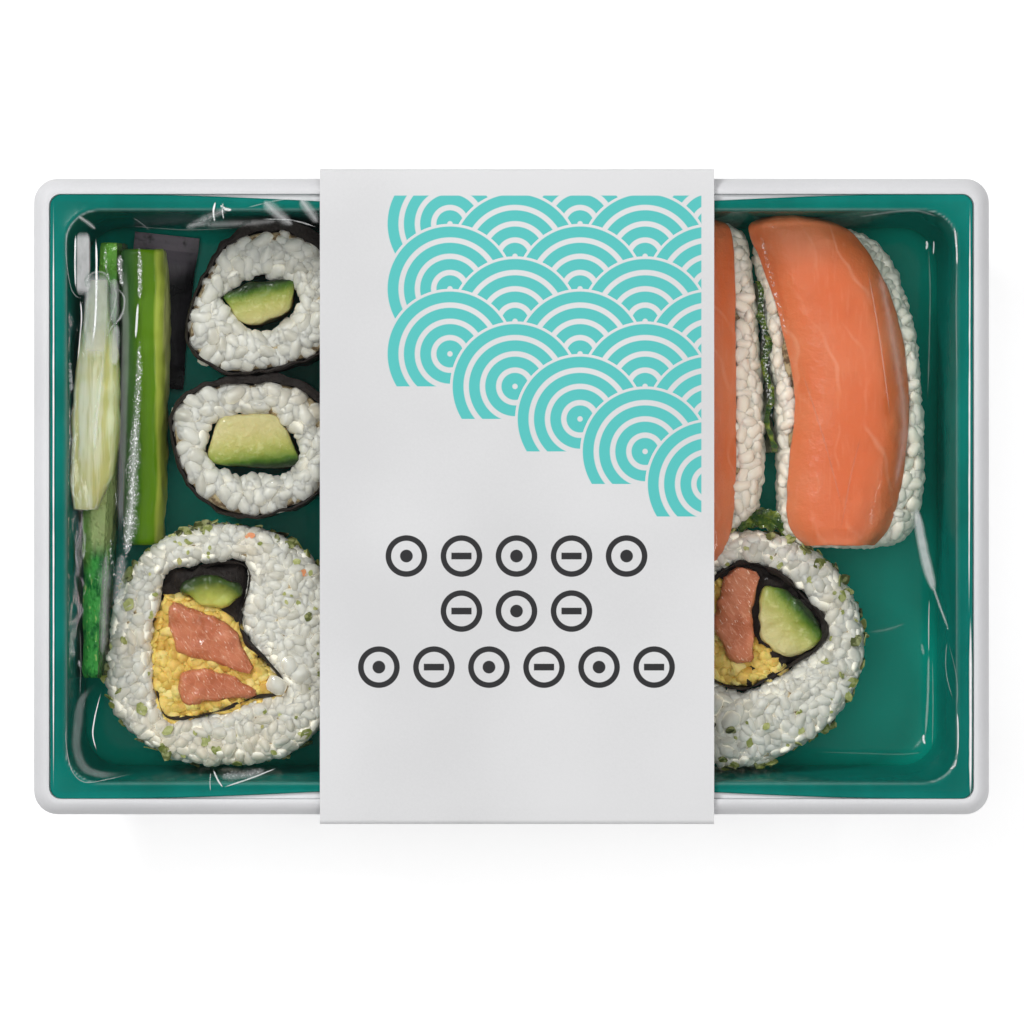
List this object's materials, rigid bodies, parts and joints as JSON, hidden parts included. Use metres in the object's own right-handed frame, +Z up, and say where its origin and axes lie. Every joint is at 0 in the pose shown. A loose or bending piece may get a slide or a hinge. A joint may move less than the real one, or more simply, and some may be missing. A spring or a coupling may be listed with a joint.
{
  "type": "takeaway sushi tray",
  "caption": "Sealed takeaway tray of salmon nigiri, cucumber rolls and inside-out rolls under clear film, with a card sleeve round its middle.",
  "frame": {"origin": "bottom centre of the whole pack, on the sleeve's underside", "axes": "+Z up out of the tray, +X along its long side towards the nigiri, +Y towards the back edge"},
  "size_m": [0.1914, 0.131, 0.034],
  "materials": {
    "board": "satin",
    "liner": "gloss",
    "film": "gloss",
    "card": "matte",
    "rice": "satin",
    "nori": "satin",
    "cucumber": "wet",
    "cucumber_skin": "wet",
    "cucumber_flesh": "wet",
    "salmon": "wet",
    "roll_salmon": "wet",
    "egg": "satin",
    "avocado": "satin",
    "leaf": "gloss",
    "sachet": "gloss"
  },
  "bodies": {
    "root": {"board_tray": "board", "liner_tray": "liner", "lid_film": "film", "card_sleeve": "card", "back_small_roll_nori": "nori", "back_small_roll_rice": "rice", "back_small_roll_cucumber": "cucumber", "front_small_roll_nori": "nori", "front_small_roll_rice": "rice", "front_small_roll_cucumber": "cucumber", "left_roll_rice": "rice", "left_roll_nori": "nori", "left_roll_egg": "egg", "left_roll_avocado": "avocado", "left_roll_salmon_back": "roll_salmon", "left_roll_salmon_front": "roll_salmon", "right_roll_rice": "rice", "right_roll_nori": "nori", "right_roll_egg": "egg", "right_roll_salmon": "roll_salmon", "right_roll_cucumber": "cucumber", "right_nigiri_rice": "rice", "right_nigiri_salmon": "salmon", "left_nigiri_rice": "rice", "left_nigiri_salmon": "salmon", "leaf_divider": "leaf", "cucumber_skin_baton": "cucumber_skin", "cucumber_flesh_baton": "cucumber_flesh", "cucumber_long_baton": "cucumber_skin", "sauce_sachet": "sachet"}
  },
  "joints": []
}
